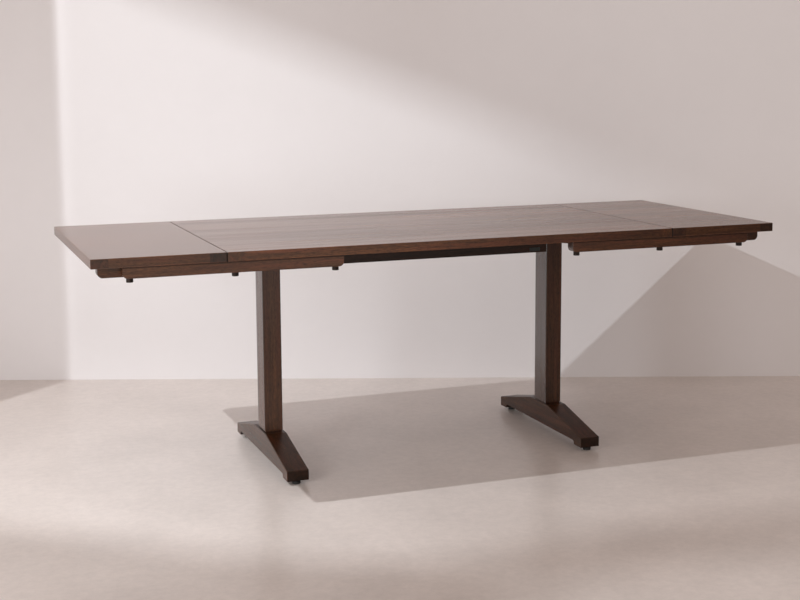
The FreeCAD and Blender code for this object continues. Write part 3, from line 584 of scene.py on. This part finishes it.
def wood_screw(mesh, look, x, y, z):
    """Adds a raised screw head with a cross, seated under the wood at z."""
    radius = look.screw_head / 2
    head = bmesh.new()
    bmesh.ops.create_uvsphere(head, u_segments=32, v_segments=16, radius=radius)
    bmesh.ops.bisect_plane(head, geom=head.verts[:] + head.edges[:] + head.faces[:], dist=1e-7,
                           plane_co=(0, 0, 0), plane_no=(0, 0, 1), clear_outer=True)
    bmesh.ops.edgeloop_fill(head, edges=[edge for edge in head.edges if edge.is_boundary])
    bmesh.ops.scale(head, vec=(1, 1, look.screw_rise / radius), verts=head.verts)
    for turn in (0, math.pi / 2):
        arm = bmesh.new()
        bmesh.ops.create_cube(arm, size=1.0, matrix=Matrix.Rotation(turn, 4, "Z") @ Matrix.Diagonal(
            (look.recess_length, look.recess_width, look.recess_height, 1)))
        bmesh.ops.translate(arm, verts=arm.verts, vec=(0, 0, -look.screw_rise))
        join(head, arm)
    bmesh.ops.translate(head, verts=head.verts, vec=(x, y, z))
    join(mesh, head)


class TABLE_OT_boards(bpy.types.Operator):
    """Finish the fixed top, the leaves and their breadboard ends"""

    bl_idname = "dining_table.boards"
    bl_label = "Finish Boards"

    def execute(self, context):
        top = {"tone": 1.26, "veneer": (0.0, 0.0, 0.0), "gloss": 1.74}
        leaf = {"tone": 0.93, "veneer": (0.4, 0.13, 0.02), "gloss": 1.72, "film_low": 0.91}
        dress(["fixed_top"], oak("Smoked oak board", "X", top["veneer"], painted_light_fade=(1.4, 0.66), **top))
        dress([f"leaf_{side}" for side in SIDES], oak("Smoked oak leaf", "X", leaf["veneer"], **leaf))
        dress([f"top_breadboard_{side}" for side in SIDES],
              oak("Smoked oak top breadboard", "Y", (0.2, 0.7, 0.1), end_tone=1.8, **top))
        for end, shift, end_tones in (("inner", (0.9, 0.3, 0.4), (0.85, 1.25)),
                                      ("outer", (0.5, 0.6, 0.2), (1.3, 0.95))):
            for side, end_tone in zip(SIDES, end_tones):
                dress([f"leaf_breadboard_{end}_{side}"],
                      oak(f"Smoked oak {end} breadboard {side}", "Y", shift, end_tone=end_tone, **leaf))
        return {"FINISHED"}


class TABLE_OT_trestles(bpy.types.Operator):
    """Finish the posts, feet, head rails and long rails"""

    bl_idname = "dining_table.trestles"
    bl_label = "Finish Trestles"

    def execute(self, context):
        # Painted light and shade: the two posts are copies of one oak with their own tone, lacquer index and
        # front lacquer, the left painted lighter and the right darker, as the lamp's light falls off to the
        # right.
        for side, tone, gloss, front_film in (("left", 1.02, 1.63, 0.66), ("right", 0.76, 1.8, 0.3)):
            dress([f"post_{side}"], oak(f"Smoked oak post {side}", "Z", (0.3, 0.1, 0.2), tone, gloss=gloss,
                                        painted_sheen_cut=("Y", front_film)))
        # Painted shade: the feet keep half their lacquer on faces that look up, which cuts the sheen there.
        dress([f"foot_{side}" for side in SIDES],
              oak("Smoked oak foot", "Y", (0.5, 0.2, 0.1), 0.8, 0.7, gloss=1.3, painted_sheen_cut=("Z", 0.5)))
        dress([f"head_rail_{side}" for side in SIDES],
              oak("Smoked oak head rail", "Y", (0.7, 0.4, 0.3), 0.85))
        # Painted shade: the long rails are stained far darker than the rest, for the shade under the top.
        dress([f"rail_{edge}" for edge in EDGES],
              oak("Smoked oak rail", "X", (0.6, 0.5, 0.2), 0.32, gloss=1.3))
        return {"FINISHED"}


class TABLE_OT_bearers(bpy.types.Operator):
    """Finish the sliding bearers and the battens of the leaves"""

    bl_idname = "dining_table.bearers"
    bl_label = "Finish Bearers"

    def execute(self, context):
        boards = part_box("fixed_top")[0].z
        dress([f"bearer_{edge}_{side}" for side, edge in CORNERS],
              oak("Smoked oak bearer", "X", (0.8, 0.33, 0.12), 1.25, 1.3, gloss=1.48, under=boards))
        dress([f"leaf_batten_{edge}_{side}" for side, edge in CORNERS],
              oak("Smoked oak batten", "X", (1.3, 0.6, 0.25), 0.88, under=boards))
        return {"FINISHED"}


class TABLE_OT_cap_bolts(bpy.types.Operator):
    """Make the knurled cap bolts that clamp the bearers"""

    bl_idname = "dining_table.cap_bolts"
    bl_label = "Make Cap Bolts"

    def execute(self, context):
        look = context.scene.dining_table_hardware
        steel = metal("Blackened steel", look.steel, 0.48, 1.2 * MM)
        top = bmesh.new()
        leaves = {side: bmesh.new() for side in SIDES}
        for side, edge in CORNERS:
            inner, middle, leaf, y = bolt_places(side, edge)
            cap_bolt(top, inner, y, look)
            cap_bolt(top, middle, y, look)
            cap_bolt(leaves[side], leaf, y, look)
        finish_piece("cap_bolts_top", top, "table_frame", steel, ["top_bolts"])
        for side in SIDES:
            finish_piece(f"cap_bolts_leaf_{side}", leaves[side], f"{side}_leaf", steel,
                         [f"leaf_bolts_{side}"])
        return {"FINISHED"}


class TABLE_OT_glides(bpy.types.Operator):
    """Make the levelling glides under the feet"""

    bl_idname = "dining_table.glides"
    bl_label = "Make Glides"

    def execute(self, context):
        look = context.scene.dining_table_hardware
        nylon = moulded_nylon("Moulded nylon", look.nylon)
        for side, edge in CORNERS:
            name = f"glide_pad_{edge}_{side}"
            low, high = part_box(name)
            centre = box_centre(name)
            radius = (high.x - low.x) / 2
            disc_height = high.z - low.z - look.nut_height
            pad = bmesh.new()
            bmesh.ops.create_cone(pad, cap_ends=True, segments=48, radius1=radius, radius2=radius,
                                  depth=disc_height,
                                  matrix=Matrix.Translation((0, 0, low.z + disc_height / 2)))
            rims = [e for e in pad.edges if abs(e.verts[0].co.z - e.verts[1].co.z) < LEVEL]
            bmesh.ops.bevel(pad, geom=rims, offset=look.disc_edge, segments=3, profile=0.5, affect="EDGES",
                            material=-1)
            nut = bmesh.new()
            across = look.nut_across / math.sqrt(3)
            bmesh.ops.create_cone(nut, cap_ends=True, segments=6, radius1=across, radius2=across,
                                  depth=look.nut_height,
                                  matrix=Matrix.Translation((0, 0, high.z - look.nut_height / 2)))
            bmesh.ops.bevel(nut, geom=nut.edges[:], offset=look.nut_edge, segments=2, profile=0.5,
                            affect="EDGES", material=-1)
            join(pad, nut)
            bmesh.ops.translate(pad, verts=pad.verts, vec=(centre.x, centre.y, 0))
            finish_piece(f"glide_{edge}_{side}", pad, f"{edge}_{side}_glide", nylon, [name])
        return {"FINISHED"}


class TABLE_OT_plate(bpy.types.Operator):
    """Make the small bare plate on the front rail"""

    bl_idname = "dining_table.plate"
    bl_label = "Make Plate"

    def execute(self, context):
        look = context.scene.dining_table_hardware
        low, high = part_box("rail_plate")
        size = high - low
        plate = bmesh.new()
        bmesh.ops.create_cube(plate, size=1.0, matrix=Matrix.Diagonal((size.x, size.y, size.z, 1)))
        corners = [e for e in plate.edges if abs((e.verts[0].co - e.verts[1].co).y) > size.y / 2]
        bmesh.ops.bevel(plate, geom=corners, offset=look.plate_corner, segments=5, profile=0.5,
                        affect="EDGES", material=-1)
        face = [f for f in plate.faces if f.normal.y < -0.9]
        bmesh.ops.inset_region(plate, faces=face, thickness=look.plate_border, depth=0.0)
        bmesh.ops.inset_region(plate, faces=face, thickness=look.plate_slope, depth=-look.plate_sink)
        bmesh.ops.translate(plate, verts=plate.verts, vec=(low + high) / 2)
        finish_piece("plate_front_rail", plate, "table_frame",
                     brushed_plate("Brushed aluminium", look.aluminium), ["rail_plate"])
        return {"FINISHED"}


class TABLE_OT_screws(bpy.types.Operator):
    """Make the wood screws of the battens and head rails, which are seen from below"""

    bl_idname = "dining_table.screws"
    bl_label = "Make Screws"

    def execute(self, context):
        look = context.scene.dining_table_hardware
        zinc = metal("Bright zinc plate", look.zinc, 0.32, 2.5 * MM)
        flat = look.head_rail_flat
        for side in SIDES:
            leaf = bmesh.new()
            for edge in EDGES:
                low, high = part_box(f"leaf_batten_{edge}_{side}")
                for part in BATTEN_SCREWS:
                    wood_screw(leaf, look, low.x + part * (high.x - low.x), (low.y + high.y) / 2, low.z)
            finish_piece(f"batten_screws_{side}", leaf, f"{side}_leaf", zinc)
            head = bmesh.new()
            low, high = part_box(f"head_rail_{side}")
            for y in (-flat + look.screw_margin, -flat / 2, flat / 2, flat - look.screw_margin):
                wood_screw(head, look, (low.x + high.x) / 2, y, low.z)
            finish_piece(f"head_rail_screws_{side}", head, "table_frame", zinc)
        return {"FINISHED"}


class TABLE_OT_inner_hardware(bpy.types.Operator):
    """Finish the threaded inserts, glide studs and dowels, which show when the table comes apart"""

    bl_idname = "dining_table.inner_hardware"
    bl_label = "Finish Inner Hardware"

    def execute(self, context):
        look = context.scene.dining_table_hardware
        studs = [f"glide_stud_{edge}_{side}" for side, edge in CORNERS]
        dress(["top_inserts", "glide_inserts", *studs, *[f"leaf_inserts_{side}" for side in SIDES]],
              metal("Zinc inserts", look.zinc, 0.35, 3 * MM))
        dress([f"seam_dowels_{side}" for side in SIDES], turned_beech("Turned beech", look.beech))
        return {"FINISHED"}


# The picture is 800 by 600, its perspective centres 50 pixels above the middle, and the sensor is 36 mm.
PICTURE_WIDTH = 800
LENS_CENTRE_RISE = 50
SENSOR_WIDTH = 36.0
FLOOR_CORNERS = ((-6.0, -2.6, 0.0), (8.0, -2.6, 0.0), (8.0, 6.0, 0.0), (-6.0, 6.0, 0.0))
# Half of the wall's length and height
WALL_REACH = 6.0
# Where the room turns dim, as the parts to the right and to the back of a unit direction
DIM_RIGHT = (0.32, 0.5)
DIM_BACK = (-0.15, -0.5)
# Cards and nets in the beam of the hard lamp: how far each stands towards the patch it shades, how dense it
# is at the patch's left and right end (1 and more is a black card), and the patch's corners
FLAGS = {
    "net_wall": (0.12, 0.5, 0.0, (
        (-0.98, 1.41, 0.05), (0.6, 0.81, 0.05), (0.6, 0.81, 2.9), (-0.98, 1.41, 2.9))),
    "card_left": (0.3, 1.0, 1.0, (
        (-0.98, 1.41, 2.8), (-0.98, 1.41, -1.2), (-1.82, 1.73, -1.2), (-1.82, 1.73, 2.8))),
    "card_high": (0.11, 1.6, 0.1, (
        (-0.74, 1.31, 1.61), (1.94, 0.3, 0.53), (1.94, 0.3, 2.13), (-0.74, 1.31, 2.51))),
    "card_near": (0.09, 0.9, 0.9, (
        (-1.6, -0.21, 0.0), (-1.39, -0.37, 0.0), (-1.1, -0.61, 0.0), (-0.91, -0.78, 0.0),
        (-0.69, -0.94, 0.0), (-0.44, -1.03, 0.0), (-0.29, -1.15, 0.0), (-0.22, -1.4, 0.0),
        (-0.41, -1.79, 0.0), (-1.63, -1.31, 0.0))),
    "card_near_right": (0.09, 0.8, 0.8, (
        (-0.26, -1.07, 0.0), (0.16, -1.01, 0.0), (0.48, -1.02, 0.0), (1.0, -1.07, 0.0),
        (0.71, -1.42, 0.0), (0.28, -1.33, 0.0), (-0.01, -1.31, 0.0), (-0.28, -1.31, 0.0))),
}


class TABLE_OT_studio(bpy.types.Operator):
    """Set up the camera, the lamps, the floor and the wall"""

    bl_idname = "dining_table.studio"
    bl_label = "Set Up Studio"

    def execute(self, context):
        look = context.scene.dining_table_studio
        self.camera(context, look)
        self.lamp(context, look, "Hard lamp", look.lamp_place, look.lamp_aim, look.lamp_size,
                  look.lamp_watts, math.pi)
        self.lamp(context, look, "Large soft box", look.fill_place, look.fill_aim, look.fill_size,
                  look.fill_watts, look.fill_spread)
        for name, (part, left, right, corners) in FLAGS.items():
            self.flag(context, look, name, part, left, right, corners)
        self.room(context, look)
        self.world(context, look)
        context.scene.view_settings.view_transform = "Standard"
        return {"FINISHED"}

    def camera(self, context, look):
        """Adds the camera, with its lens shifted to where the picture's perspective centres."""
        data = bpy.data.cameras.new("Camera")
        data.sensor_width = SENSOR_WIDTH
        data.lens = look.lens
        data.shift_y = -LENS_CENTRE_RISE / PICTURE_WIDTH
        camera = bpy.data.objects.new("Camera", data)
        camera.location = look.camera_place
        camera.rotation_euler = look.camera_turn
        context.scene.collection.objects.link(camera)
        context.scene.camera = camera

    def lamp(self, context, look, name, stand, aim, size, watts, spread):
        """Adds a square lamp that stands at one point and faces another."""
        data = bpy.data.lights.new(name, "AREA")
        data.shape = "SQUARE"
        data.size = size
        data.energy = watts
        data.color = look.lamp_tint[:3]
        data.spread = spread
        lamp = bpy.data.objects.new(name, data)
        lamp.location = stand
        lamp.rotation_euler = (Vector(aim) - Vector(stand)).to_track_quat("-Z", "Y").to_euler()
        context.scene.collection.objects.link(lamp)

    def flag(self, context, look, name, part, left, right, corners):
        """Adds a card or net that shades a patch of wall or floor from the hard lamp; no camera sees it."""
        lamp = Vector(look.lamp_place)
        places = [lamp.lerp(Vector(corner), part) for corner in corners]
        card = bmesh.new()
        card.faces.new([card.verts.new(spot) for spot in places])
        cloth, tree = new_material(f"Black cloth {name}")
        along = node(tree, "ShaderNodeSeparateXYZ", {0: node(tree, "ShaderNodeTexCoord").outputs["Object"]})
        density = node(tree, "ShaderNodeMapRange",
                       {"Value": along, "From Min": min(spot.x for spot in places),
                        "From Max": max(spot.x for spot in places), "To Min": left, "To Max": right})
        threads = node(tree, "ShaderNodeBsdfDiffuse", {"Color": (0.02, 0.02, 0.02, 1.0)})
        holes = node(tree, "ShaderNodeBsdfTransparent")
        net = node(tree, "ShaderNodeMixShader", {0: density, 1: holes, 2: threads})
        node(tree, "ShaderNodeOutputMaterial", {"Surface": net})
        thing = self.surface(context, name, card, cloth)
        for rays in ("camera", "diffuse", "glossy", "transmission"):
            setattr(thing, f"visible_{rays}", False)

    def room(self, context, look):
        """Lays the floor and stands the wall square to the camera's heading."""
        heading = look.camera_turn[2]
        ahead = Vector((-math.sin(heading), math.cos(heading), 0))
        foot = Vector((look.camera_place[0], look.camera_place[1], 0)) + ahead * look.wall_distance
        floor = bmesh.new()
        floor.faces.new([floor.verts.new(corner) for corner in FLOOR_CORNERS])
        wall = bmesh.new()
        bmesh.ops.create_grid(wall, x_segments=1, y_segments=1, size=WALL_REACH,
                              matrix=Matrix.Translation(foot + Vector((0, 0, WALL_REACH)))
                              @ Matrix.Rotation(heading, 4, "Z") @ Matrix.Rotation(math.pi / 2, 4, "X"))
        self.surface(context, "floor", floor, plaster("Pale floor", look.floor, 0.35, 0.07, 0.28))
        self.surface(context, "wall", wall, plaster("Pale wall", look.wall, 1.4, 0.008, 0.8))

    def world(self, context, look):
        """Lights the table evenly, and shows camera and gloss a pale room that is dim to one side."""
        world = bpy.data.worlds.new("Room")
        world.use_nodes = True
        tree = world.node_tree
        tree.nodes.clear()
        path = node(tree, "ShaderNodeLightPath").outputs
        direct = node(tree, "ShaderNodeMath", {0: path["Is Camera Ray"], 1: path["Is Glossy Ray"]},
                      operation="MAXIMUM")
        seen = node(tree, "ShaderNodeMath", {0: direct, 1: path["Is Transmission Ray"]},
                    operation="MAXIMUM")
        way = node(tree, "ShaderNodeSeparateXYZ", {0: node(tree, "ShaderNodeTexCoord").outputs["Generated"]})
        right, back = (
            node(tree, "ShaderNodeMapRange", {"Value": way.outputs[axis], "From Min": start, "From Max": end},
                 interpolation_type="SMOOTHSTEP")
            for axis, (start, end) in (("X", DIM_RIGHT), ("Y", DIM_BACK)))
        dim = node(tree, "ShaderNodeMath", {0: right, 1: back}, operation="MULTIPLY")
        room = node(tree, "ShaderNodeMix", {"Factor": dim, "A": look.background, "B": look.background_dark},
                    data_type="RGBA").outputs["Result"]
        shown = node(tree, "ShaderNodeBackground", {"Color": room, "Strength": 1.0})
        even = node(tree, "ShaderNodeBackground", {"Color": look.sky_tint, "Strength": look.sky})
        light = node(tree, "ShaderNodeMixShader", {0: seen, 1: even, 2: shown})
        node(tree, "ShaderNodeOutputWorld", {"Surface": light})
        context.scene.world = world

    def surface(self, context, name, mesh, material):
        """Adds a bmesh to the stage, which is no part of the table."""
        data = bpy.data.meshes.new(name)
        mesh.to_mesh(data)
        mesh.free()
        thing = bpy.data.objects.new(name, data)
        data.materials.append(material)
        context.scene.collection.objects.link(thing)
        return thing


OPERATORS = (TABLE_OT_studio, TABLE_OT_boards, TABLE_OT_trestles, TABLE_OT_bearers, TABLE_OT_cap_bolts,
             TABLE_OT_glides, TABLE_OT_plate, TABLE_OT_screws, TABLE_OT_inner_hardware)


class TABLE_PT_panel(bpy.types.Panel):
    """Lists the steps that dress the table"""

    bl_idname = "TABLE_PT_panel"
    bl_label = "Dining Table"
    bl_space_type = "VIEW_3D"
    bl_region_type = "UI"
    bl_category = "Dining Table"

    def draw(self, context):
        for operator in OPERATORS:
            self.layout.operator(operator.bl_idname)


GROUPS = {"dining_table_oak": OakFinish, "dining_table_hardware": HardwareLook,
          "dining_table_studio": StudioLook}
CLASSES = (*GROUPS.values(), *OPERATORS, TABLE_PT_panel)


def register():
    """Adds the classes and the three groups of properties."""
    for cls in CLASSES:
        bpy.utils.register_class(cls)
    for name, group in GROUPS.items():
        setattr(bpy.types.Scene, name, bpy.props.PointerProperty(type=group))


def unregister():
    """Takes them away again."""
    for name in GROUPS:
        delattr(bpy.types.Scene, name)
    for cls in reversed(CLASSES):
        bpy.utils.unregister_class(cls)


def main():
    """Dresses the table step by step."""
    register()
    for operator in OPERATORS:
        family, name = operator.bl_idname.split(".")
        getattr(getattr(bpy.ops, family), name)()


if __name__ == "__main__":
    main()
